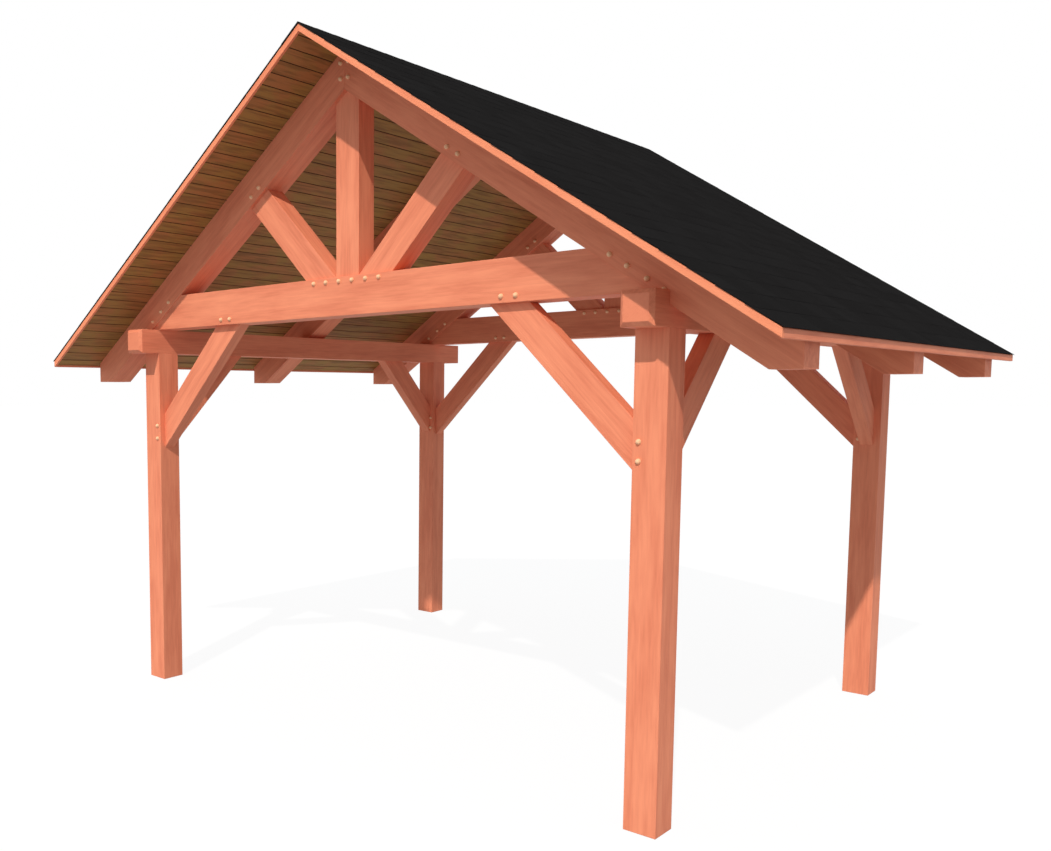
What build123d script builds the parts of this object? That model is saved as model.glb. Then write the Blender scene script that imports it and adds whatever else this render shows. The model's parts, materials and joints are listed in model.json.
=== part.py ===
"""Open timber pavilion with two king-post trusses and a gable roof, in millimetres.

X runs across the gable, Y from the front to the rear along the ridge, and Z is up. The origin is on the
ground, midway between the four posts. The timbers join with tenons, each in a mortise of the same outline.
"""
import os
from math import cos, radians, sin, tan

from build123d import *

# Posts, measured over their outside faces
frame_width = 3658
frame_depth = 3040
post_side = 152
post_height = 2184

# Eave plates, which run past the posts at both gables
plate_width = 152
plate_depth = 152
plate_front_projection = 150
plate_rear_projection = 214
plate_chamfer = 19

# Tie beams of the trusses
tie_thickness = 152
tie_depth = 207

# Rafters, with a seat cut on the plate and a tail cut plumb and level
roof_pitch = 34
rafter_thickness = 165
rafter_depth = 178
rafter_seat = 87
tail_reach = 534
tail_plumb_cut = 128

# King posts and struts between the tie beam and the rafters
web_thickness = 120
king_post_width = 165
strut_depth = 165
strut_angle = 45

# Knee braces, with two equal legs
brace_angle = 45
brace_thickness = 76
brace_depth = 157
tie_brace_leg = 770
plate_brace_leg = 595

# Tenons, and the wood left between the mortises of the two braces in a post
tenon_thickness = 38
tenon_shoulder = 20
tenon_length = 50
rafter_tenon_length = 75
king_tenon_length = 170
ridge_tongue_length = 120
mortise_clearance = 3
mortise_wall = 10

# Roof boards, trim along their edges, and roofing
deck_thickness = 30
gable_overhang = 328
eave_overhang = 25
trim_thickness = 16
trim_drop = 37
roofing_thickness = 6.5

# Levels and lines that follow from the sizes above
plate_top = post_height + plate_depth
tie_top = plate_top + tie_depth
pitch = radians(roof_pitch)
roof_slope = tan(pitch)
plumb_share = 1 / cos(pitch)
post_x = (frame_width - post_side) / 2
truss_y = (frame_depth - post_side) / 2
plate_face_x = post_x + plate_width / 2
tail_x = plate_face_x + tail_reach
deck_edge_x = tail_x + eave_overhang
trim_x = deck_edge_x + trim_thickness
deck_end_y = frame_depth / 2 + gable_overhang
trim_y = deck_end_y + trim_thickness
tie_foot_x = plate_face_x - rafter_seat
tie_top_x = tie_foot_x - tie_depth / roof_slope
rafter_soffit_peak = plate_top + tie_foot_x * roof_slope
rafter_top_peak = rafter_soffit_peak + rafter_depth * plumb_share
deck_top_peak = rafter_top_peak + deck_thickness * plumb_share
brace_tenon_length = (post_side - tenon_thickness) / 2 - mortise_wall - mortise_clearance

SIDES = {"left": -1, "right": 1}
ENDS = {"front": -1, "rear": 1}
ON_BASE = (Align.CENTER, Align.CENTER, Align.MIN)


def slope_height(peak, x):
    """Height, at a distance from the ridge, of a roof line that starts at the given peak."""
    return peak - abs(x) * roof_slope


def carried_along_y(outline, y_from, y_to):
    """Solid with an outline in X and Z, carried from one Y to another."""
    face = make_face(Polyline(*outline, close=True))
    return extrude(Plane.XZ.offset(-y_to) * face, y_to - y_from)


def in_truss(end, outline, thickness):
    """Solid with an outline in X and Z, centred on the front (-1), middle (0) or rear (1) truss line."""
    middle = end * truss_y
    return carried_along_y(outline, middle - thickness / 2, middle + thickness / 2)


def under_plate(side, outline, thickness):
    """Solid with an outline in Y and Z, centred under the left (-1) or right (1) plate."""
    middle = side * post_x
    face = make_face(Polyline(*outline, close=True))
    return extrude(Plane.YZ.offset(middle - thickness / 2) * face, thickness)


def on_side(side, outline):
    """Outline drawn on the positive side, mirrored where the side is -1."""
    return [(side * across, z) for across, z in outline]


def brace_outline(face, soffit, leg):
    """Brace between a post face and the underside of a beam, on the side towards the middle."""
    short_leg = leg - brace_depth / sin(radians(brace_angle))
    return [(face, soffit - leg), (face, soffit - short_leg), (face - short_leg, soffit), (face - leg, soffit)]


def brace_tenon_outlines(face, soffit, leg, reach):
    """Tenons of a brace in its post and in its beam, square at the toe and in line with the brace's top."""
    short_leg = leg - brace_depth / sin(radians(brace_angle))
    offsets = [(0, leg), (-reach, leg), (-reach, short_leg + reach), (0, short_leg)]
    in_post = [(face - away, soffit - down) for away, down in offsets]
    in_beam = [(face - away, soffit - down) for down, away in offsets]
    return in_post, in_beam


def tie_brace_tenons(side, end, extra=0):
    """Tenons of a tie brace in the post and in the tie beam, or their mortises with extra depth."""
    face = post_x - post_side / 2
    outlines = brace_tenon_outlines(face, plate_top, tie_brace_leg, brace_tenon_length + extra)
    return [in_truss(end, on_side(side, outline), tenon_thickness) for outline in outlines]


def plate_brace_tenons(side, end, extra=0):
    """Tenons of a plate brace in the post and in the plate, or their mortises with extra depth."""
    face = truss_y - post_side / 2
    outlines = brace_tenon_outlines(face, post_height, plate_brace_leg, brace_tenon_length + extra)
    return [under_plate(side, on_side(end, outline), tenon_thickness) for outline in outlines]


def post_tenon(side, end, extra=0):
    """Tenon on a post's top, in the plate above it."""
    tenon = Box(tenon_thickness, post_side - 2 * tenon_shoulder, tenon_length + extra, align=ON_BASE)
    return Pos(side * post_x, end * truss_y, post_height) * tenon


def tie_top_tenon(side, end, x_from, x_to, extra):
    """Tenon that drops into the top of the tie beam between two places, less a shoulder at each."""
    foot_z = tie_top - tenon_length - extra
    inner, outer = x_from + tenon_shoulder, x_to - tenon_shoulder
    outline = [(inner, tie_top), (outer, tie_top), (outer, foot_z), (inner, foot_z)]
    return in_truss(end, on_side(side, outline), tenon_thickness)


def rafter_tenon(side, end, x_from, x_to, extra):
    """Tenon square to the underside of a rafter between two places, less a shoulder at each."""
    reach = rafter_tenon_length + extra
    inset = tenon_shoulder * cos(pitch)
    seat = [(x, slope_height(rafter_soffit_peak, x)) for x in (x_from + inset, x_to - inset)]
    head = [(x + reach * sin(pitch), z + reach * cos(pitch)) for x, z in reversed(seat)]
    return in_truss(end, on_side(side, seat + head), tenon_thickness)


def king_post_tenons(end, extra=0):
    """Tenons of a king post in the tie beam and, up between them, in both rafters."""
    half = king_post_width / 2
    reach = king_tenon_length + extra
    cheek = half - tenon_shoulder
    cheek_z = slope_height(rafter_soffit_peak, cheek)
    head = [(-cheek, cheek_z), (0, rafter_soffit_peak), (cheek, cheek_z)]
    head += [(x, z + reach) for x, z in reversed(head)]
    return [tie_top_tenon(1, end, -half, half, extra), in_truss(end, head, tenon_thickness)]


def strut_outline():
    """Strut from the foot of the king post out to the underside of a rafter: foot first, then head."""
    rise = tan(radians(strut_angle))
    inner_x = king_post_width / 2
    outer_x = inner_x + strut_depth / sin(radians(strut_angle))
    head_xs = [(rafter_soffit_peak - tie_top + x * rise) / (rise + roof_slope) for x in (outer_x, inner_x)]
    head = [(x, slope_height(rafter_soffit_peak, x)) for x in head_xs]
    return [(inner_x, tie_top), (outer_x, tie_top), *head]


def strut_tenons(side, end, extra=0):
    """Tenons of a strut in the tie beam and in the rafter."""
    (foot_from, _), (foot_to, _), (head_to, _), (head_from, _) = strut_outline()
    return [
        tie_top_tenon(side, end, foot_from, foot_to, extra),
        rafter_tenon(side, end, head_from, head_to, extra),
    ]


def tie_end_tenon(side, end, extra=0):
    """Tenon of the tie beam's end in a rafter, level and in line with the beam."""
    reach = rafter_tenon_length + extra
    levels = (plate_top + tenon_shoulder, tie_top - tenon_shoulder)
    shoulder = [((rafter_soffit_peak - z) / roof_slope, z) for z in levels]
    outline = shoulder + [(x + reach, z) for x, z in reversed(shoulder)]
    return in_truss(end, on_side(side, outline), tenon_thickness)


def ridge_tongue(extra=0):
    """Tongue of the middle left rafter in the fork of the right one."""
    reach = ridge_tongue_length + extra
    outline = [
        (0, rafter_soffit_peak),
        (0, rafter_top_peak),
        (reach, slope_height(rafter_top_peak, reach)),
        (reach, slope_height(rafter_soffit_peak, reach)),
    ]
    return in_truss(0, outline, tenon_thickness)


def post(side, end):
    """Square post standing on the ground, tenoned into the plate and mortised for its braces."""
    upright = Pos(side * post_x, end * truss_y, 0) * Box(post_side, post_side, post_height, align=ON_BASE)
    tie_mortise, _ = tie_brace_tenons(side, end, mortise_clearance)
    plate_mortise, _ = plate_brace_tenons(side, end, mortise_clearance)
    return upright + post_tenon(side, end) - tie_mortise - plate_mortise


def plate(side):
    """Beam along the eave on two posts, with both end faces chamfered all round."""
    length = frame_depth + plate_front_projection + plate_rear_projection
    middle_y = (plate_rear_projection - plate_front_projection) / 2
    beam = Box(plate_width, length, plate_depth, align=ON_BASE)
    faces = beam.faces().sort_by(Axis.Y)
    beam = chamfer(faces[0].edges() + faces[-1].edges(), plate_chamfer)
    beam = Pos(side * post_x, middle_y, post_height) * beam
    for end in ENDS.values():
        _, brace_mortise = plate_brace_tenons(side, end, mortise_clearance)
        beam = beam - brace_mortise - post_tenon(side, end, mortise_clearance)
    return beam


def tie_beam(end):
    """Beam across the plates, with its ends cut to the underside of the rafters and tenoned into them."""
    outline = [(-tie_foot_x, plate_top), (tie_foot_x, plate_top), (tie_top_x, tie_top), (-tie_top_x, tie_top)]
    king_mortise, _ = king_post_tenons(end, mortise_clearance)
    beam = in_truss(end, outline, tie_thickness) - king_mortise
    for side in SIDES.values():
        _, brace_mortise = tie_brace_tenons(side, end, mortise_clearance)
        strut_mortise, _ = strut_tenons(side, end, mortise_clearance)
        beam = beam + tie_end_tenon(side, end) - brace_mortise - strut_mortise
    return beam


def plain_rafter(side, end):
    """Rafter from the ridge to the tail, with a level seat and a plumb heel cut on the plate."""
    level_z = slope_height(rafter_top_peak, tail_x) - tail_plumb_cut
    level_x = (rafter_soffit_peak - level_z) / roof_slope
    outline = [
        (0, rafter_soffit_peak),
        (0, rafter_top_peak),
        (tail_x, slope_height(rafter_top_peak, tail_x)),
        (tail_x, level_z),
        (level_x, level_z),
        (plate_face_x, slope_height(rafter_soffit_peak, plate_face_x)),
        (plate_face_x, plate_top),
        (tie_foot_x, plate_top),
    ]
    return in_truss(end, on_side(side, outline), rafter_thickness)


def truss_rafter(side, end):
    """Rafter of a truss, mortised for the king post, a strut and the end of the tie beam."""
    _, king_mortise = king_post_tenons(end, mortise_clearance)
    _, strut_mortise = strut_tenons(side, end, mortise_clearance)
    tie_mortise = tie_end_tenon(side, end, mortise_clearance)
    return plain_rafter(side, end) - king_mortise - strut_mortise - tie_mortise


def king_post(end):
    """Post from the tie beam up into the angle under the two rafters."""
    half = king_post_width / 2
    shoulder = slope_height(rafter_soffit_peak, half)
    outline = [(-half, tie_top), (half, tie_top), (half, shoulder), (0, rafter_soffit_peak), (-half, shoulder)]
    return in_truss(end, outline, web_thickness) + king_post_tenons(end)


def strut(side, end):
    """Strut of a truss with its two tenons."""
    return in_truss(end, on_side(side, strut_outline()), web_thickness) + strut_tenons(side, end)


def tie_brace(side, end):
    """Knee brace from a post to the tie beam."""
    outline = brace_outline(post_x - post_side / 2, plate_top, tie_brace_leg)
    return in_truss(end, on_side(side, outline), brace_thickness) + tie_brace_tenons(side, end)


def plate_brace(side, end):
    """Knee brace from a post to the plate."""
    outline = brace_outline(truss_y - post_side / 2, post_height, plate_brace_leg)
    return under_plate(side, on_side(end, outline), brace_thickness) + plate_brace_tenons(side, end)


def roof_layer(side, lower_peak, thickness, edge_x, end_y):
    """Sheet of one roof slope from the ridge to the eave, with plumb edges."""
    upper_peak = lower_peak + thickness * plumb_share
    outline = [
        (0, lower_peak),
        (0, upper_peak),
        (edge_x, slope_height(upper_peak, edge_x)),
        (edge_x, slope_height(lower_peak, edge_x)),
    ]
    return carried_along_y(on_side(side, outline), -end_y, end_y)


def rake_board(side, end):
    """Trim along the gable edge of the roof boards, with plumb ends."""
    lower_peak = deck_top_peak - trim_drop
    outline = [
        (0, lower_peak),
        (0, deck_top_peak),
        (trim_x, slope_height(deck_top_peak, trim_x)),
        (trim_x, slope_height(lower_peak, trim_x)),
    ]
    return carried_along_y(on_side(side, outline), *sorted((end * deck_end_y, end * trim_y)))


def eave_fascia(side):
    """Trim along the eave edge of the roof boards, its top bevelled to the roof slope and its foot level."""
    foot_z = slope_height(deck_top_peak, trim_x) - trim_drop
    outline = [
        (deck_edge_x, foot_z),
        (deck_edge_x, slope_height(deck_top_peak, deck_edge_x)),
        (trim_x, slope_height(deck_top_peak, trim_x)),
        (trim_x, foot_z),
    ]
    return carried_along_y(on_side(side, outline), -deck_end_y, deck_end_y)


def pavilion():
    """Every piece of the pavilion by its name."""
    pieces = {
        "middle_left_rafter": plain_rafter(SIDES["left"], 0) + ridge_tongue(),
        "middle_right_rafter": plain_rafter(SIDES["right"], 0) - ridge_tongue(mortise_clearance),
    }
    for side_name, side in SIDES.items():
        pieces[f"{side_name}_plate"] = plate(side)
        deck = roof_layer(side, rafter_top_peak, deck_thickness, deck_edge_x, deck_end_y)
        pieces[f"{side_name}_roof_deck"] = deck
        pieces[f"{side_name}_eave_fascia"] = eave_fascia(side)
        pieces[f"{side_name}_roofing"] = roof_layer(side, deck_top_peak, roofing_thickness, trim_x, trim_y)
    for end_name, end in ENDS.items():
        pieces[f"{end_name}_tie_beam"] = tie_beam(end)
        pieces[f"{end_name}_king_post"] = king_post(end)
        for side_name, side in SIDES.items():
            corner = f"{end_name}_{side_name}"
            pieces[f"{corner}_post"] = post(side, end)
            pieces[f"{corner}_rafter"] = truss_rafter(side, end)
            pieces[f"{corner}_strut"] = strut(side, end)
            pieces[f"{corner}_tie_brace"] = tie_brace(side, end)
            pieces[f"{corner}_plate_brace"] = plate_brace(side, end)
            pieces[f"{corner}_rake_board"] = rake_board(side, end)
    return pieces


os.makedirs("parts", exist_ok=True)
for name, piece in pavilion().items():
    export_step(piece, f"parts/{name}.step")
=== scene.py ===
"""Looks of the timber pavilion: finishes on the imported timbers, with its pegs, roof boards and shingles.

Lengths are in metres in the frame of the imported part: X across the gable, Y from front to rear, Z up.
"""
import json

import bpy
import numpy as np
from mathutils import Matrix, Vector

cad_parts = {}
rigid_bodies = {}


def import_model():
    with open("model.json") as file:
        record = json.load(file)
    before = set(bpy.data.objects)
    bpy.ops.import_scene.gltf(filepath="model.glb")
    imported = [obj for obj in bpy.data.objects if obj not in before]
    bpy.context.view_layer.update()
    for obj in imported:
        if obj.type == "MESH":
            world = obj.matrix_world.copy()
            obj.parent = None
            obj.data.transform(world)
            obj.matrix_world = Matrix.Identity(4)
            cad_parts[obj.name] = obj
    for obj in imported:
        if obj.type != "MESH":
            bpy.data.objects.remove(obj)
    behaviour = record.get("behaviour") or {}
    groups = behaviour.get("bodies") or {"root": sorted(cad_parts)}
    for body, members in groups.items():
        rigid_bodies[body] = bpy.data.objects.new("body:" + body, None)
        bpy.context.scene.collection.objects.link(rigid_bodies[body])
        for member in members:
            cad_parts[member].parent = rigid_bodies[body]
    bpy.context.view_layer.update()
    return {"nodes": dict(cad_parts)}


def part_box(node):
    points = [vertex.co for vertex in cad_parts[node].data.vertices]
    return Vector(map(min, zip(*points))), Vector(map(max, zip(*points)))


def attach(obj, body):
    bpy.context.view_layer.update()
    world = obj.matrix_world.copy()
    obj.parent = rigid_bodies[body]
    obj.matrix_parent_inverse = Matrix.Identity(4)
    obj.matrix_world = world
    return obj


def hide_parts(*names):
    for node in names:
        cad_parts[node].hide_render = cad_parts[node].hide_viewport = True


for leftover in list(bpy.data.objects):
    bpy.data.objects.remove(leftover)

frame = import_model()

SIDES = {"left": -1, "right": 1}
ENDS = {"front": -1, "rear": 1}

# The photograph's frame in its own pixels, and the camera that the pavilion's corners gave
IMAGE_WIDTH, IMAGE_HEIGHT = 1051, 851
FOCAL_PIXELS = 1003.1
AXIS_PIXEL = (320.21, 484.69)
CAMERA_PLACE = (3.7347, -5.4892, 1.9132)
CAMERA_TURN = np.radians(44.689)
CAMERA_TILT = np.radians(-5.148)
CAMERA_ROLL = np.radians(0.151)
SENSOR_WIDTH = 36.0

# Light: a sun with its bearing from the front towards the right, a soft sky and a pale floor
SUN_BEARING = np.radians(24.15)
SUN_HEIGHT = np.radians(44.2)
SUN_SPREAD = np.radians(1.0)
SUN_STRENGTH = 2.75
SUN_COLOUR = (1.0, 0.955, 0.885)
SKY_COLOUR = (0.94, 1.0, 1.075)
SKY_STRENGTH = 0.635
SKY_LEAN = (-0.20, -0.12, 0.0)
FLOOR_REACH = 150.0
FLOOR_DROP = 0.001
FLOOR_BOUNCE = (0.445, 0.47, 0.492)
FLOOR_WHITE_SHARE = 0.93

# Roof lines: the pitch and the rafters' depth are the part's own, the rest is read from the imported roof
ROOF_PITCH = np.radians(34)
RAFTER_DEPTH = 0.178
deck_low, deck_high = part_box("right_roof_deck")
roofing_low, roofing_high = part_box("right_roofing")
boards_peak = deck_low.z + deck_high.x * np.tan(ROOF_PITCH)
deck_peak = deck_high.z
soffit_peak = boards_peak - RAFTER_DEPTH / np.cos(ROOF_PITCH)
deck_thickness = (deck_peak - boards_peak) * np.cos(ROOF_PITCH)
roofing_thickness = (roofing_high.z - deck_peak) * np.cos(ROOF_PITCH)

# Timber faces that the pegs stand on
post_low, post_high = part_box("front_right_post")
tie_low, tie_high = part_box("front_tie_beam")
rafter_low, rafter_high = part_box("front_right_rafter")
truss_y = -(post_low.y + post_high.y) / 2
tie_half = (tie_high.y - tie_low.y) / 2
rafter_half = (rafter_high.y - rafter_low.y) / 2

# Pegs of one truss: X from its middle, Z from the ground, insets and rises from the timbers' edges, and a
# drift to the right of the two pairs at the braces' heads
PEG_RADIUS = 0.0125
PEG_PROUD = 0.015
FOOT_PEG_XS = (0.048, 0.145, 0.238)
FOOT_PEG_INSET = 0.023
BRACE_PEG_XS = (0.978, 1.059)
BRACE_PEG_DRIFT = 0.020
BRACE_PEG_INSET = 0.031
POST_PEG_ZS = (1.709, 1.626)
POST_PEG_INSET = 0.028
STRUT_PEG_XS = (0.679, 0.744)
STRUT_PEG_RISE = 0.040
HEEL_PEG_XS = (1.554, 1.636, 1.727, 1.803)
HEEL_PEG_RISE = 0.035
APEX_PEG_X = 0.027
APEX_PEG_RISES = (0.058, 0.139)
PEG_SIDES = 20
PEG_RINGS = 6

# Roof boards seen from below, with a small bevel and a narrow gap up to a lip at each joint
BOARD_WIDTH = 0.0822
FIRST_BOARD_WIDTH = 0.021
LAST_BOARD_LEAST = BOARD_WIDTH / 3
BOARD_BEVEL = 0.0026
BOARD_GAP = 0.0007
BOARD_LIP = 0.006
BOARD_SEAM = 0.0002

# Shingle courses, each lapped over the one below, cut into tabs, and the caps along the ridge
COURSE = 0.1325
COURSE_LAP_SHARE = 1.25
SHINGLE_HEEL = 0.0053
SHINGLE_SHY = 0.0005
EAVE_OVERSAIL = 0.006
GABLE_OVERSAIL = 0.004
TAB_WIDTHS = (0.07, 0.21)
TAB_SEAM = 0.0002
TAB_LEAST = 0.0009
CAP_REACH = 0.145
CAP_LIFT = 0.0012
CAP_LAP_SHARE = 1.15
roofing_front = roofing_low.y - GABLE_OVERSAIL
roofing_rear = roofing_high.y + GABLE_OVERSAIL

# Eased arrises on the sawn timber, whose triangles are first joined into flat faces
ARRIS = 0.0018
ARRIS_ANGLE = np.radians(20)
ARRIS_SEGMENTS = 2
WELD_REACH = 1e-5
FLAT_ANGLE = np.radians(0.5)

# Colours, linear
CEDAR_PALE = (0.90, 0.305, 0.165)
CEDAR = (0.79, 0.240, 0.128)
CEDAR_DARK = (0.62, 0.160, 0.082)
CEDAR_END = (0.80, 0.245, 0.130)
TRIM_PALE = (0.92, 0.315, 0.160)
TRIM = (0.84, 0.258, 0.128)
TRIM_DARK = (0.72, 0.192, 0.095)
BOARD_TAN = (0.385, 0.204, 0.051)
BOARD_RED = (0.43, 0.172, 0.055)
BOARD_DARK = (0.222, 0.102, 0.0285)
# Painted shade inside the joints between the roof boards
BOARD_JOINT_SHADE = (0.09, 0.040, 0.013)
PEG_PALE = (0.95, 0.57, 0.33)
PEG_RING = (0.80, 0.42, 0.21)
SHINGLE_BLACK = (0.0133, 0.0126, 0.0126)
SHINGLE_GREY = (0.0205, 0.0198, 0.0199)
WHITE = (1.0, 1.0, 1.0)

# Sockets of a Mix node that carry its factor, its two colours and its result
MIX_FACTOR = 0
MIX_FIRST = 6
MIX_SECOND = 7
MIX_RESULT = 2

# Noise runs from 0 to 1 about this value
NOISE_MIDDLE = 0.5

GRAIN_SEED = 34
rng = np.random.default_rng(GRAIN_SEED)


class Shade:
    """A socket of a node tree. Arithmetic on it adds Math nodes, and node() adds any other node."""

    def __init__(self, tree, socket=None):
        self.tree = tree
        self.socket = socket

    def node(self, kind, settings=None, inputs=None, output=0):
        """One new node: its settings first, then its inputs' values or links."""
        made = self.tree.nodes.new(kind)
        for key, value in (settings or {}).items():
            setattr(made, key, value)
        for key, value in (inputs or {}).items():
            if isinstance(value, Shade):
                self.tree.links.new(value.socket, made.inputs[key])
            else:
                made.inputs[key].default_value = value
        return Shade(self.tree, made.outputs[output] if made.outputs else None)

    def math(self, operation, *terms):
        """A Math node on numbers or sockets."""
        return self.node("ShaderNodeMath", {"operation": operation}, dict(enumerate(terms)))

    def vector(self, operation, *terms, output=0):
        """A Vector Math node on vectors or sockets."""
        return self.node("ShaderNodeVectorMath", {"operation": operation}, dict(enumerate(terms)), output)

    def __add__(self, other):
        return self.math("ADD", self, other)

    __radd__ = __add__

    def __sub__(self, other):
        return self.math("SUBTRACT", self, other)

    def __rsub__(self, other):
        return self.math("SUBTRACT", other, self)

    def __mul__(self, other):
        return self.math("MULTIPLY", self, other)

    __rmul__ = __mul__

    def __pow__(self, other):
        return self.math("POWER", self, other)

    def noise(self, stretch, detail, output=0):
        """Noise at this point, each axis stretched by its own count of features to the metre."""
        inputs = {"Vector": self.vector("MULTIPLY", self, stretch), "Scale": 1.0, "Detail": detail}
        return self.node("ShaderNodeTexNoise", None, inputs, output)

    def between(self, low, high):
        """This value, smoothed to 0 at low and 1 at high."""
        settings = {"interpolation_type": "SMOOTHSTEP"}
        return self.node("ShaderNodeMapRange", settings, {"Value": self, "From Min": low, "From Max": high})

    def tint(self, first, second):
        """First colour where this value is 0, second where it is 1."""
        inputs = {MIX_FACTOR: self}
        for socket, colour in ((MIX_FIRST, first), (MIX_SECOND, second)):
            inputs[socket] = (*colour, 1.0) if isinstance(colour, tuple) else colour
        return self.node("ShaderNodeMix", {"data_type": "RGBA"}, inputs, MIX_RESULT)


def new_finish(name):
    """An empty material, with a Shade to build its nodes."""
    material = bpy.data.materials.new(name)
    material.use_nodes = True
    material.node_tree.nodes.clear()
    return material, Shade(material.node_tree)


def close_finish(shade, colour, roughness, height, relief, specular):
    """Ends a finish: a Principled shader with a bump whose height of 1 stands for the relief."""
    normal = shade.node("ShaderNodeBump", None, {"Strength": 1.0, "Distance": relief, "Height": height})
    inputs = {
        "Base Color": colour,
        "Roughness": roughness,
        "Normal": normal,
        "Specular IOR Level": specular,
    }
    shader = shade.node("ShaderNodeBsdfPrincipled", None, inputs)
    shade.node("ShaderNodeOutputMaterial", None, {"Surface": shader})


def member_space(shade, along, centre, shift):
    """Point in a timber's own space: X along the grain from its middle, Y and Z across, all shifted."""
    along = Vector(along).normalized()
    across = along.orthogonal().normalized()
    turn = Matrix((along, across, along.cross(across)))
    place = Vector(shift) - turn @ Vector(centre)
    point = shade.node("ShaderNodeTexCoord", output="Object")
    inputs = {"Vector": point, "Location": place, "Rotation": turn.to_euler()}
    return shade.node("ShaderNodeMapping", None, inputs)


# Sawn timber: growth rings round a pith, and noise drawn out along the grain. Each stretch counts features
# to the metre, first along the grain and then in both directions across it
PITH_REACH = (0.10, 0.19)
GRAIN_SHIFT = 40.0
ACROSS_GRAIN = (0.0, 1.0, 1.0)
WANDER = (0.0, 0.030, 0.030)
WANDER_NOISE = {"stretch": (0.8, 5.0, 5.0), "detail": 2.0}
FIBRE_NOISE = {"stretch": (5.0, 420.0, 420.0), "detail": 3.0}
STREAK_NOISE = {"stretch": (1.4, 24.0, 24.0), "detail": 4.0}
FLECK_NOISE = {"stretch": (7.0, 85.0, 85.0), "detail": 2.0}
CLOUD_NOISE = {"stretch": (2.8, 10.0, 10.0), "detail": 3.0}
RINGS_PER_METRE = 190.0
LATE_WOOD_POWER = 2.5
LATE_WOOD_END = (0.90, 1.0)
STREAK_SHARE = 0.40
CLOUD_SHARE = 0.32
FLECK_SHARE = 0.28
PALE_TO_MID = (0.34, 0.60)
MID_TO_DARK = (0.50, 0.70)
DARK_SHARE = 0.5
LATE_WOOD_SHARE = 0.14
FIBRE_SHARE = 0.22
END_FACING = (0.86, 0.96)
END_SHARE = 0.65
END_LATE_WOOD_SHARE = 0.15
TIMBER_ROUGHNESS = 0.62
FIBRE_ROUGHNESS = 0.16
LATE_WOOD_POLISH = 0.08
LATE_WOOD_HEIGHT = 0.6
FIBRE_HEIGHT = 0.5
TIMBER_RELIEF = 0.0006
TIMBER_SPECULAR = 0.25


def timber_finish(name, along, centre, tones):
    """Sawn softwood: a ring is the fraction of the distance from a wandering pith, fibres and streaks are
    noise drawn out along the grain, and end faces, whose normal follows it, have a tone of their own."""
    material, shade = new_finish(name)
    bearing = rng.uniform(0, 2 * np.pi)
    reach = rng.uniform(*PITH_REACH)
    pith = (rng.uniform(-GRAIN_SHIFT, GRAIN_SHIFT), reach * np.cos(bearing), reach * np.sin(bearing))
    point = member_space(shade, along, centre, pith)
    sway = shade.vector("SUBTRACT", point.noise(**WANDER_NOISE, output="Color"), (NOISE_MIDDLE,) * 3)
    wandered = shade.vector("ADD", point, shade.vector("MULTIPLY", sway, WANDER))
    radius = shade.vector("LENGTH", shade.vector("MULTIPLY", wandered, ACROSS_GRAIN), output="Value")
    ring = shade.math("FRACT", radius * RINGS_PER_METRE)
    late = ring ** LATE_WOOD_POWER * (1 - ring.between(*LATE_WOOD_END))
    fibre = wandered.noise(**FIBRE_NOISE)
    streak = wandered.noise(**STREAK_NOISE)
    fleck = wandered.noise(**FLECK_NOISE)
    cloud = wandered.noise(**CLOUD_NOISE)
    pale, mid, dark, end = tones
    depth = streak * STREAK_SHARE + cloud * CLOUD_SHARE + fleck * FLECK_SHARE
    colour = depth.between(*PALE_TO_MID).tint(pale, mid)
    colour = (depth.between(*MID_TO_DARK) * DARK_SHARE).tint(colour, dark)
    colour = (late * LATE_WOOD_SHARE + (fibre - NOISE_MIDDLE) * FIBRE_SHARE).tint(colour, dark)
    facing = shade.node("ShaderNodeNewGeometry", output="Normal")
    cut = shade.vector("DOT_PRODUCT", facing, tuple(Vector(along).normalized()), output="Value")
    cut = shade.math("ABSOLUTE", cut).between(*END_FACING)
    colour = (cut * (END_SHARE + late * END_LATE_WOOD_SHARE)).tint(colour, end)
    roughness = TIMBER_ROUGHNESS + fibre * FIBRE_ROUGHNESS - late * LATE_WOOD_POLISH
    height = late * LATE_WOOD_HEIGHT + fibre * FIBRE_HEIGHT
    close_finish(shade, colour, roughness, height, TIMBER_RELIEF, TIMBER_SPECULAR)
    return material


# Stained roof boards, whose grain follows Y. Each board slides along the noise by its own tone
BOARD_SLIDE = (37.0, 91.0, 53.0)
BOARD_PATCH_NOISE = {"stretch": (7.0, 4.5, 7.0), "detail": 3.0}
BOARD_STREAK_NOISE = {"stretch": (55.0, 4.0, 55.0), "detail": 4.0}
BOARD_FIBRE_NOISE = {"stretch": (320.0, 9.0, 320.0), "detail": 2.0}
TAN_TO_RED = (0.42, 0.60)
STREAK_TO_DARK = (0.42, 0.66)
BOARD_STREAK_SHARE = 0.7
BOARD_TONE_SHARE = 0.15
BOARD_FIBRE_START = 0.4
BOARD_FIBRE_SHARE = 0.5
# Painted shade of the joints, spread from the gap onto the boards' bevels
JOINT_SHADE_EDGE = (0.05, 0.6)
BOARD_ROUGHNESS = 0.58
BOARD_FIBRE_ROUGHNESS = 0.2
BOARD_STREAK_HEIGHT = 0.5
BOARD_FIBRE_HEIGHT = 0.5
BOARD_RELIEF = 0.0005
BOARD_SPECULAR = 0.3


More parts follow.
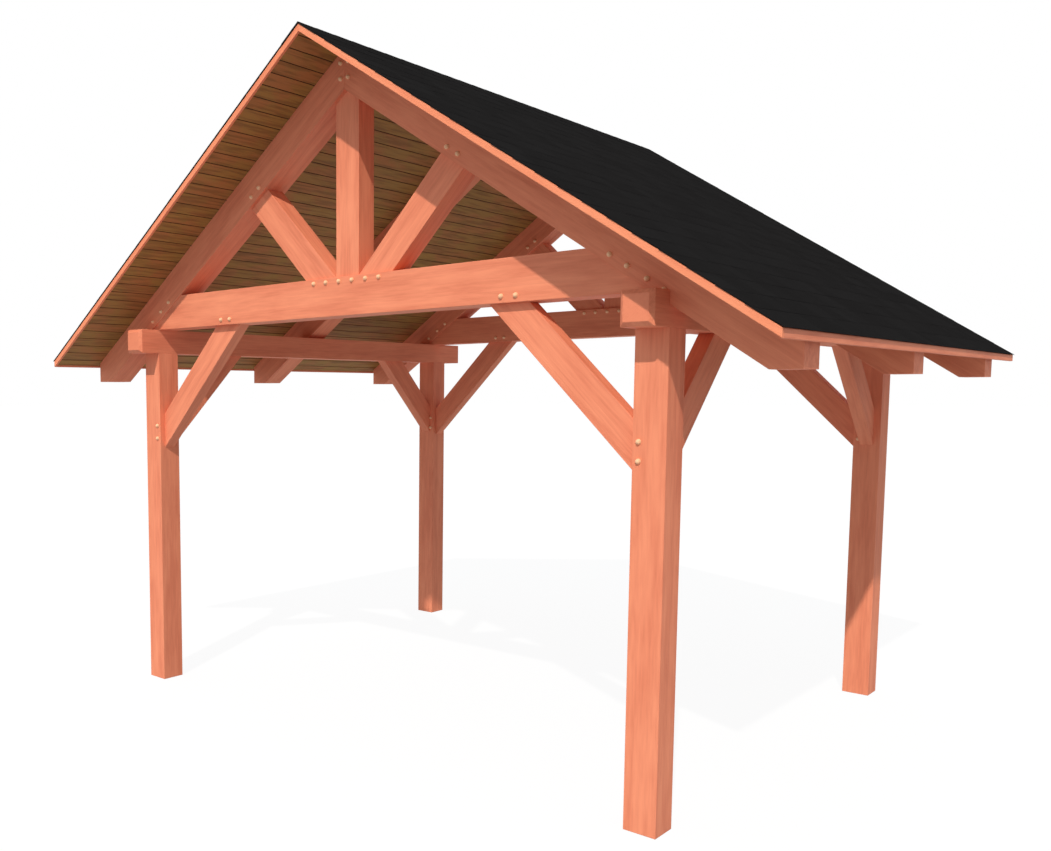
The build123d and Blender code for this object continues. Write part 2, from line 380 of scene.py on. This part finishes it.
def board_finish():
    """Brown stained boards: patches, streaks and fibres of noise, each board with the tone of its attribute,
    and painted shade inside the joints and over their bevels, where a second attribute is 1."""
    material, shade = new_finish("stained_roof_boards")
    point = shade.node("ShaderNodeTexCoord", output="Object")
    tone = shade.node("ShaderNodeAttribute", {"attribute_name": "board_tone"}, output="Fac")
    slide = {axis: tone * share for axis, share in zip("XYZ", BOARD_SLIDE)}
    own = shade.vector("ADD", point, shade.node("ShaderNodeCombineXYZ", None, slide))
    patch = own.noise(**BOARD_PATCH_NOISE)
    streak = own.noise(**BOARD_STREAK_NOISE)
    fibre = own.noise(**BOARD_FIBRE_NOISE)
    colour = patch.between(*TAN_TO_RED).tint(BOARD_TAN, BOARD_RED)
    darker = streak.between(*STREAK_TO_DARK) * BOARD_STREAK_SHARE + tone * BOARD_TONE_SHARE
    colour = darker.tint(colour, BOARD_DARK)
    colour = ((fibre - BOARD_FIBRE_START) * BOARD_FIBRE_SHARE).tint(colour, BOARD_DARK)
    # Painted shade in the joints: dark where the attribute is 1, fading across each bevel
    joint = shade.node("ShaderNodeAttribute", {"attribute_name": "board_joint_shade"}, output="Fac")
    colour = joint.between(*JOINT_SHADE_EDGE).tint(colour, BOARD_JOINT_SHADE)
    roughness = BOARD_ROUGHNESS + fibre * BOARD_FIBRE_ROUGHNESS
    height = streak * BOARD_STREAK_HEIGHT + fibre * BOARD_FIBRE_HEIGHT
    close_finish(shade, colour, roughness, height, BOARD_RELIEF, BOARD_SPECULAR)
    return material


# Mineral facing of the shingles: single grains, and clouds over the whole slope
MINERAL_NOISE = {"stretch": (700.0, 700.0, 700.0), "detail": 1.0}
WEATHER_NOISE = {"stretch": (9.0, 9.0, 9.0), "detail": 2.0}
TAB_TONE_SHARE = 0.30
PALE_GRAIN = (0.55, 0.75)
PALE_GRAIN_SHARE = 0.45
WEATHER_SHARE = 0.3
SHINGLE_ROUGHNESS = 0.88
MINERAL_ROUGHNESS = 0.1
MINERAL_RELIEF = 0.0008
SHINGLE_SPECULAR = 0.0


def shingle_finish():
    """Mineral-faced shingles: fine grains and clouds as noise, each tab lighter by its attribute."""
    material, shade = new_finish("mineral_shingles")
    point = shade.node("ShaderNodeTexCoord", output="Object")
    tone = shade.node("ShaderNodeAttribute", {"attribute_name": "tab_tone"}, output="Fac")
    grain = point.noise(**MINERAL_NOISE)
    cloud = point.noise(**WEATHER_NOISE)
    lift = tone * TAB_TONE_SHARE + grain.between(*PALE_GRAIN) * PALE_GRAIN_SHARE
    colour = (lift + (cloud - NOISE_MIDDLE) * WEATHER_SHARE).tint(SHINGLE_BLACK, SHINGLE_GREY)
    roughness = SHINGLE_ROUGHNESS + grain * MINERAL_ROUGHNESS
    close_finish(shade, colour, roughness, grain, MINERAL_RELIEF, SHINGLE_SPECULAR)
    return material


# End grain of the pegs
SPECK_NOISE = {"stretch": (500.0, 60.0, 500.0), "detail": 2.0}
SPECK_DRIFT = 0.3
RINGS_PER_PEG = 3.0
PEG_RING_POWER = 2.0
PEG_RING_SHARE = 0.45
SPECK_SHARE = 0.4
PEG_ROUGHNESS = 0.5
SPECK_ROUGHNESS = 0.2
PEG_RELIEF = 0.0003
PEG_SPECULAR = 0.35


def peg_finish():
    """Pale turned dowels: rings round each dowel's own middle from an attribute, and fine fibres."""
    material, shade = new_finish("pale_dowels")
    point = shade.node("ShaderNodeTexCoord", output="Object")
    ring = shade.node("ShaderNodeAttribute", {"attribute_name": "peg_ring"}, output="Fac")
    speck = point.noise(**SPECK_NOISE)
    bands = shade.math("FRACT", (ring + speck * SPECK_DRIFT) * RINGS_PER_PEG)
    darker = bands ** PEG_RING_POWER * PEG_RING_SHARE + (speck - NOISE_MIDDLE) * SPECK_SHARE
    colour = darker.tint(PEG_PALE, PEG_RING)
    close_finish(shade, colour, PEG_ROUGHNESS + speck * SPECK_ROUGHNESS, speck, PEG_RELIEF, PEG_SPECULAR)
    return material


def mesh_piece(name, vertices, faces, finish, attributes=None, smooth=False):
    """A piece of the pavilion from an array of points and lists of faces, riding on its one body."""
    mesh = bpy.data.meshes.new(name)
    corners = [face for rows in faces for face in rows.tolist()]
    mesh.from_pydata(vertices.reshape(-1, 3).tolist(), [], corners)
    for key, values in (attributes or {}).items():
        attribute = mesh.attributes.new(key, "FLOAT", "POINT")
        attribute.data.foreach_set("value", values.astype(np.float32).ravel())
    mesh.polygons.foreach_set("use_smooth", np.full(len(mesh.polygons), smooth))
    mesh.materials.append(finish)
    mesh.validate()
    piece = bpy.data.objects.new(name, mesh)
    bpy.context.scene.collection.objects.link(piece)
    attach(piece, "root")
    return piece


def carried_prisms(first, last):
    """Closed prisms from two stacks of outlines, (prisms, corners, 3): side k joins corners k and k + 1 of
    the first outline to those of the last, and each outline closes its own end."""
    count, corners, _ = first.shape
    vertices = np.stack([first, last], axis=1)
    start = (np.arange(count) * 2 * corners)[:, None]
    here = np.arange(corners)
    after = (here + 1) % corners
    sides = np.stack([here, after, after + corners, here + corners], axis=-1)
    sides = (start[:, :, None] + sides[None]).reshape(-1, 4)
    near = start + here[::-1]
    far = start + here + corners
    return vertices, [sides, near, far]


def over_points(values, vertices):
    """One value of each prism, repeated for all its points."""
    return np.repeat(values, vertices[0].size // vertices.shape[-1])


def placed_on_slope(side, peak, down, rise, y):
    """Points of the roof as one array: their distance down the slope from the ridge gives X and Z by the
    pitch, their rise is square to the slope, and Y is as it is."""
    x = side * (down * np.cos(ROOF_PITCH) + rise * np.sin(ROOF_PITCH))
    z = peak - down * np.sin(ROOF_PITCH) + rise * np.cos(ROOF_PITCH)
    return np.stack(np.broadcast_arrays(x, y, z), axis=-1)


def outward(side, outlines):
    """Outlines that start at their lower edge, turned so that their faces look outwards on either slope."""
    return outlines if side < 0 else outlines[:, ::-1]


def roof_boards(side_name, side, finish):
    """Boards of one slope: outlines with a bevel, a gap and a lip at each joint, carried from gable to
    gable. The first board is cut plumb at the ridge and the last at the eave."""
    run = deck_high.x / np.cos(ROOF_PITCH)
    joints = np.arange(FIRST_BOARD_WIDTH, run - LAST_BOARD_LEAST, BOARD_WIDTH)
    upper = np.concatenate([[0.0], joints + BOARD_SEAM])
    lower = np.concatenate([joints - BOARD_SEAM, [run]])
    gap, bevel, lip, top = BOARD_GAP, BOARD_BEVEL, BOARD_LIP, deck_thickness
    from_edge = np.array([gap + bevel, gap, gap, 0.0, 0.0])
    edge_rise = np.array([0.0, bevel, lip, lip, top])
    plumb = edge_rise * np.tan(ROOF_PITCH)
    down = np.concatenate([upper[:, None] + from_edge, (lower[:, None] - from_edge)[:, ::-1]], axis=1)
    down[0, :len(plumb)] -= plumb
    down[-1, -len(plumb):] -= plumb[::-1]
    rise = np.concatenate([edge_rise, edge_rise[::-1]])
    starts_at_upper_edge = placed_on_slope(side, boards_peak, down, rise, 0.0)
    outline = outward(-side, starts_at_upper_edge)
    ends = [outline + np.array([0.0, end * deck_high.y, 0.0]) for end in ENDS.values()]
    vertices, faces = carried_prisms(*ends)
    tone = over_points(rng.uniform(0, 1, len(outline)), vertices)
    # 1 at every point above a board's underside: where the finish paints shade into the joints
    joint = np.broadcast_to(rise > 0.0, vertices.shape[:3]).astype(float)
    attributes = {"board_tone": tone, "board_joint_shade": joint}
    piece = mesh_piece(f"{side_name}_roof_boards", vertices, faces, finish, attributes)
    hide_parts(f"{side_name}_roof_deck")


def shingle_courses(side_name, side, finish):
    """Shingles of one slope: every tab is a wedge, thin at its head under the course above and thick at its
    butt, carried along Y for its own random width. Some tabs are a little thinner than the rest."""
    run = roofing_high.x / np.cos(ROOF_PITCH) + EAVE_OVERSAIL
    width = roofing_rear - roofing_front
    butts = np.arange(run, CAP_REACH, -COURSE)
    per_course = int(width / TAB_WIDTHS[0])
    cuts = np.cumsum(rng.uniform(*TAB_WIDTHS, (len(butts), per_course)), axis=1)
    cuts = np.minimum(np.concatenate([np.zeros((len(butts), 1)), cuts], axis=1), width) + roofing_front
    shy = rng.choice([0.0, SHINGLE_SHY], (len(butts), per_course))
    tone = rng.uniform(0, 1, (len(butts), per_course))
    kept = np.diff(cuts, axis=1) > TAB_LEAST
    butt = np.broadcast_to(butts[:, None], kept.shape)[kept]
    thick = roofing_thickness - shy[kept]
    head = np.maximum(butt - COURSE * COURSE_LAP_SHARE, 0.0)
    zero = np.zeros_like(butt)
    down = np.stack([butt, butt, head, head], axis=1)
    rise = np.stack([zero + SHINGLE_HEEL, thick, zero + SHINGLE_HEEL, zero], axis=1)
    outlines = [
        outward(side, placed_on_slope(side, deck_peak, down, rise, y[:, None]))
        for y in (cuts[:, :-1][kept] + TAB_SEAM, cuts[:, 1:][kept] - TAB_SEAM)
    ]
    vertices, faces = carried_prisms(*outlines)
    tones = over_points(tone[kept], vertices)
    piece = mesh_piece(f"{side_name}_shingles", vertices, faces, finish, {"tab_tone": tones})
    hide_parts(f"{side_name}_roofing")


def ridge_caps(finish):
    """Caps folded over the ridge: an inverted V as thick as the roofing, each carried along Y over the next
    and raised at its front edge by its lift."""
    count = int((roofing_rear - roofing_front) / COURSE)
    starts = np.linspace(roofing_front, roofing_rear, count + 1)
    pitch = starts[1] - starts[0]
    fronts = starts[:-1]
    rears = np.minimum(fronts + pitch * CAP_LAP_SHARE, roofing_rear)
    side = np.array([-1, 0, 1, 1, 0, -1])
    outer = np.array([0, 0, 0, 1, 1, 1])
    down = np.abs(side) * CAP_REACH

    def section(y, lift):
        """Outline of every cap at one of its ends."""
        x = side * down * np.cos(ROOF_PITCH)
        z = deck_peak - down * np.sin(ROOF_PITCH) + outer * (roofing_thickness + lift) / np.cos(ROOF_PITCH)
        return np.stack(np.broadcast_arrays(x, y[:, None], z), axis=-1)

    vertices, faces = carried_prisms(section(fronts, CAP_LIFT)[:, ::-1], section(rears, 0.0)[:, ::-1])
    tones = over_points(rng.uniform(0, 1, count), vertices)
    mesh_piece("ridge_caps", vertices, faces, finish, {"tab_tone": tones})


def truss_peg_rows():
    """X, Z and half the pegged timber's thickness for every peg of one truss."""
    rows = []
    for side in SIDES.values():
        inner_face = side * (post_low.x + POST_PEG_INSET)
        rows += [(side * x, tie_high.z - FOOT_PEG_INSET, tie_half) for x in FOOT_PEG_XS]
        rows += [(side * x + BRACE_PEG_DRIFT, tie_low.z + BRACE_PEG_INSET, tie_half) for x in BRACE_PEG_XS]
        rows += [(inner_face, z, tie_half) for z in POST_PEG_ZS]
        rows += [(side * APEX_PEG_X, soffit_peak + rise, rafter_half) for rise in APEX_PEG_RISES]
        for xs, rise in ((STRUT_PEG_XS, STRUT_PEG_RISE), (HEEL_PEG_XS, HEEL_PEG_RISE)):
            lift = rise / np.cos(ROOF_PITCH)
            rows += [(side * x, soffit_peak + lift - x * np.tan(ROOF_PITCH), rafter_half) for x in xs]
    return np.array(rows)


def turned_faces(levels):
    """Faces of one turned peg: quads between its rings, and at each end a fan to its pole. The two poles are
    the points that follow the rings."""
    here = np.arange(PEG_SIDES)
    after = (here + 1) % PEG_SIDES
    level = np.arange(levels - 1)[:, None] * PEG_SIDES
    following = level + PEG_SIDES
    walls = np.stack([level + here, following + here, following + after, level + after], axis=-1)
    last = (levels - 1) * PEG_SIDES
    front_pole = np.full(PEG_SIDES, levels * PEG_SIDES)
    front = np.stack([here, after, front_pole], axis=-1)
    rear = np.stack([last + after, last + here, front_pole + 1], axis=-1)
    return walls.reshape(-1, walls.shape[-1]), front, rear


def truss_pegs(end_name, end, finish):
    """Dowels through the timbers of one truss: a half ellipse turned about Y at each face, and a straight
    shank between, with a single point at each pole."""
    rows = truss_peg_rows()
    middle_x, middle_z, half = rows.T[:, :, None, None]
    rise = np.linspace(0, np.pi / 2, PEG_RINGS + 1)[1:]
    radius = np.concatenate([np.sin(rise), np.sin(rise)[::-1]]) * PEG_RADIUS
    proud = np.concatenate([-np.cos(rise), np.cos(rise)[::-1]]) * PEG_PROUD
    face = np.repeat([-1.0, 1.0], PEG_RINGS)
    around = np.linspace(0, 2 * np.pi, PEG_SIDES, endpoint=False)
    x = middle_x + radius[:, None] * np.cos(around)
    z = middle_z + radius[:, None] * np.sin(around)
    y = end * truss_y + face[:, None] * half + proud[:, None]
    rings = np.stack(np.broadcast_arrays(x, y, z), axis=-1).reshape(len(rows), -1, 3)
    pole_y = np.array([-1.0, 1.0]) * (rows[:, 2, None] + PEG_PROUD) + end * truss_y
    poles = np.stack(np.broadcast_arrays(rows[:, :1], pole_y, rows[:, 1:2]), axis=-1)
    vertices = np.concatenate([rings, poles], axis=1)
    start = (np.arange(len(rows)) * vertices.shape[1])[:, None, None]
    faces = [(start + part).reshape(-1, part.shape[-1]) for part in turned_faces(len(radius))]
    share = np.concatenate([np.repeat(radius / PEG_RADIUS, PEG_SIDES), [0.0, 0.0]])
    ring = share + rng.uniform(0, 1, (len(rows), 1))
    mesh_piece(f"{end_name}_truss_pegs", vertices, faces, finish, {"peg_ring": ring}, smooth=True)


def grain_direction(node):
    """Direction of the grain of a packed timber, from what its name says it is."""
    side = -1 if "left" in node else 1
    end = -1 if "front" in node else 1
    slope = (side * np.cos(ROOF_PITCH), 0.0, -np.sin(ROOF_PITCH))
    directions = {
        "tie_brace": (-side, 0.0, 1.0),
        "plate_brace": (0.0, -end, 1.0),
        "strut": (side, 0.0, 1.0),
        "rafter": slope,
        "rake_board": slope,
        "eave_fascia": (0.0, 1.0, 0.0),
        "tie_beam": (1.0, 0.0, 0.0),
        "king_post": (0.0, 0.0, 1.0),
        "plate": (0.0, 1.0, 0.0),
        "post": (0.0, 0.0, 1.0),
    }
    return next(direction for kind, direction in directions.items() if node.endswith(kind))


def dress_timbers():
    """Gives every sawn timber and trim board its own run of grain and eased arrises."""
    timber_tones = (CEDAR_PALE, CEDAR, CEDAR_DARK, CEDAR_END)
    trim_tones = (TRIM_PALE, TRIM, TRIM_DARK, CEDAR_END)
    for node, timber in sorted(frame["nodes"].items()):
        if node.endswith(("roof_deck", "roofing")):
            continue
        low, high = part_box(node)
        tones = trim_tones if node.endswith("rake_board") else timber_tones
        finish = timber_finish(f"{node}_wood", grain_direction(node), (low + high) / 2, tones)
        timber.data.materials[0] = finish
        weld = timber.modifiers.new("weld", "WELD")
        weld.merge_threshold = WELD_REACH
        flatten = timber.modifiers.new("flatten", "DECIMATE")
        flatten.decimate_type = "DISSOLVE"
        flatten.angle_limit = FLAT_ANGLE
        ease = timber.modifiers.new("ease", "BEVEL")
        ease.width = ARRIS
        ease.segments = ARRIS_SEGMENTS
        ease.limit_method = "ANGLE"
        ease.angle_limit = ARRIS_ANGLE


def seen_ray(shade):
    """1 for rays from the camera, a reflection or a clear surface, and 0 for the light on the object."""
    kinds = ("Camera", "Glossy", "Transmission")
    seen, mirrored, through = (shade.node("ShaderNodeLightPath", output=f"Is {kind} Ray") for kind in kinds)
    return shade.math("MAXIMUM", shade.math("MAXIMUM", seen, mirrored), through)


def floor():
    """Pale floor, near white to the camera, that keeps a soft trace of the pavilion's shadow."""
    material, shade = new_finish("pale_floor")
    plain = shade.node("ShaderNodeEmission", None, {"Color": (*FLOOR_BOUNCE, 1.0), "Strength": 1.0})
    white = shade.node("ShaderNodeEmission", None, {"Color": (*WHITE, 1.0), "Strength": 1.0})
    pale = shade.node("ShaderNodeBsdfDiffuse", None, {"Color": (*WHITE, 1.0)})
    shown = shade.node("ShaderNodeMixShader", None, {0: FLOOR_WHITE_SHARE, 1: pale, 2: white})
    mixed = shade.node("ShaderNodeMixShader", None, {0: seen_ray(shade), 1: plain, 2: shown})
    shade.node("ShaderNodeOutputMaterial", None, {"Surface": mixed})
    corners = np.array([(-1, -1, 0), (1, -1, 0), (1, 1, 0), (-1, 1, 0)]) * FLOOR_REACH
    mesh = bpy.data.meshes.new("floor")
    mesh.from_pydata((corners - np.array([0, 0, FLOOR_DROP])).tolist(), [], [(0, 1, 2, 3)])
    mesh.materials.append(material)
    ground = bpy.data.objects.new("floor", mesh)
    bpy.context.scene.collection.objects.link(ground)


def sky():
    """White to the camera, and a soft light on the object, a little stronger from the front and left."""
    world = bpy.data.worlds.new("sky")
    world.use_nodes = True
    world.node_tree.nodes.clear()
    shade = Shade(world.node_tree)
    direction = shade.node("ShaderNodeTexCoord", output="Generated")
    lean = shade.vector("DOT_PRODUCT", direction, SKY_LEAN, output="Value")
    soft = (lean + 1.0) * SKY_STRENGTH
    seen = seen_ray(shade)
    strength = soft + seen * (1.0 - soft)
    colour = seen.tint(SKY_COLOUR, WHITE)
    light = shade.node("ShaderNodeBackground", None, {"Color": colour, "Strength": strength})
    shade.node("ShaderNodeOutputWorld", None, {"Surface": light})
    bpy.context.scene.world = world


def sun():
    """One lamp from the front right, at the angle of the photograph's shadows."""
    lamp = bpy.data.lights.new("sun", "SUN")
    lamp.energy = SUN_STRENGTH
    lamp.color = SUN_COLOUR
    lamp.angle = SUN_SPREAD
    holder = bpy.data.objects.new("sun", lamp)
    flat = np.cos(SUN_HEIGHT)
    heading = Vector((-np.sin(SUN_BEARING) * flat, np.cos(SUN_BEARING) * flat, -np.sin(SUN_HEIGHT)))
    holder.rotation_euler = heading.to_track_quat("-Z", "Y").to_euler()
    bpy.context.scene.collection.objects.link(holder)


def camera():
    """The photograph's camera: the lens from its focal length in pixels, the shift from its axis pixel."""
    lens = bpy.data.cameras.new("camera")
    lens.sensor_width = SENSOR_WIDTH
    lens.lens = FOCAL_PIXELS / IMAGE_WIDTH * SENSOR_WIDTH
    lens.shift_x = (IMAGE_WIDTH / 2 - AXIS_PIXEL[0]) / IMAGE_WIDTH
    lens.shift_y = (AXIS_PIXEL[1] - IMAGE_HEIGHT / 2) / IMAGE_WIDTH
    lens.clip_end = 2 * FLOOR_REACH
    holder = bpy.data.objects.new("camera", lens)
    holder.location = CAMERA_PLACE
    holder.rotation_euler = (np.pi / 2 + CAMERA_TILT, CAMERA_ROLL, CAMERA_TURN)
    bpy.context.scene.collection.objects.link(holder)
    bpy.context.scene.camera = holder


dress_timbers()
board_wood = board_finish()
mineral = shingle_finish()
dowel_wood = peg_finish()
for side_name, side in SIDES.items():
    roof_boards(side_name, side, board_wood)
    shingle_courses(side_name, side, mineral)
ridge_caps(mineral)
for end_name, end in ENDS.items():
    truss_pegs(end_name, end, dowel_wood)
floor()
sky()
sun()
camera()
bpy.context.scene.view_settings.view_transform = "Standard"
